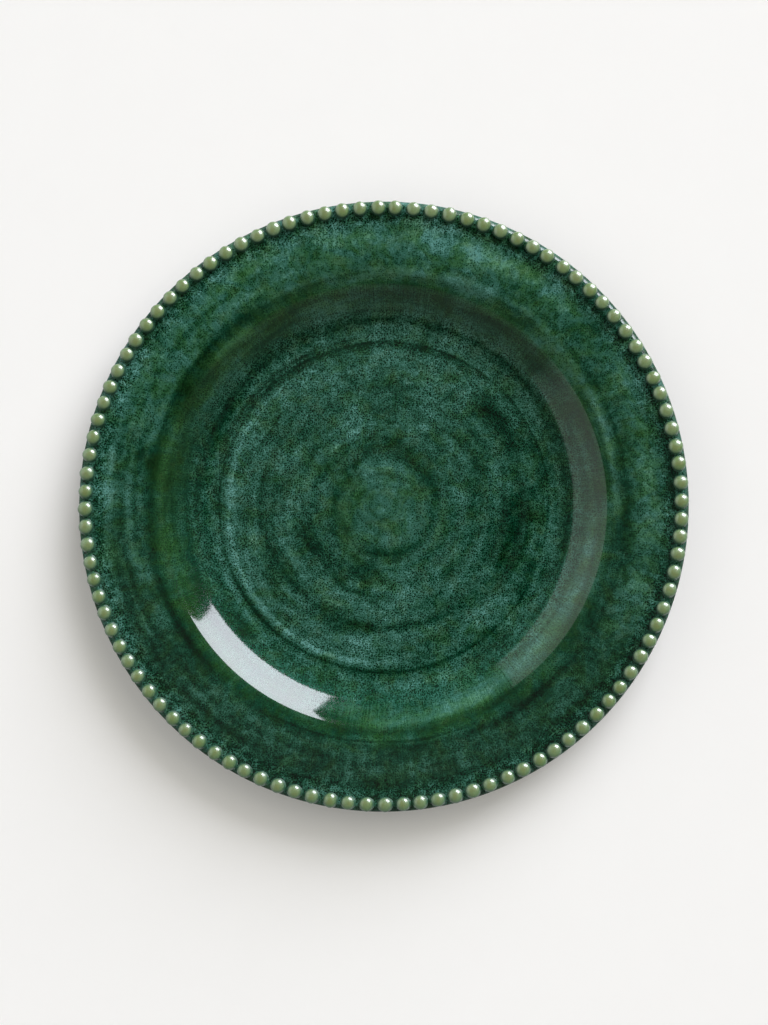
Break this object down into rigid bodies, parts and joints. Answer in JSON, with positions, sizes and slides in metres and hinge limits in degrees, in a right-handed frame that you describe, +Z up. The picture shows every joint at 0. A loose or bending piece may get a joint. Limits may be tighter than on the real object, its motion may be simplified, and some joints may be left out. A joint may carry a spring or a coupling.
{
  "type": "dinner plate",
  "caption": "Round stoneware dinner plate with a flat well, a sloping rim edged by a row of beads, and an unglazed foot ring.",
  "frame": {"origin": "centre of the foot ring's standing face", "axes": "+Z up along the plate's axis, with the face of the plate upwards; +X and +Y lie on the table"},
  "size_m": [0.27, 0.27, 0.0275],
  "materials": {
    "clay_body": "fired stoneware under glaze",
    "bare_foot": "bare, fine-grained",
    "bead_glaze": "gloss, pale sage green",
    "face_glaze": "gloss, mottled dark green",
    "back_glaze": "gloss, mottled dark green"
  },
  "bodies": {
    "root": {"plate_body": "clay_body", "foot_ring": "bare_foot", "rim_beads": "bead_glaze", "face_glaze": "face_glaze", "back_glaze": "back_glaze", "base_glaze": "back_glaze"}
  },
  "joints": []
}
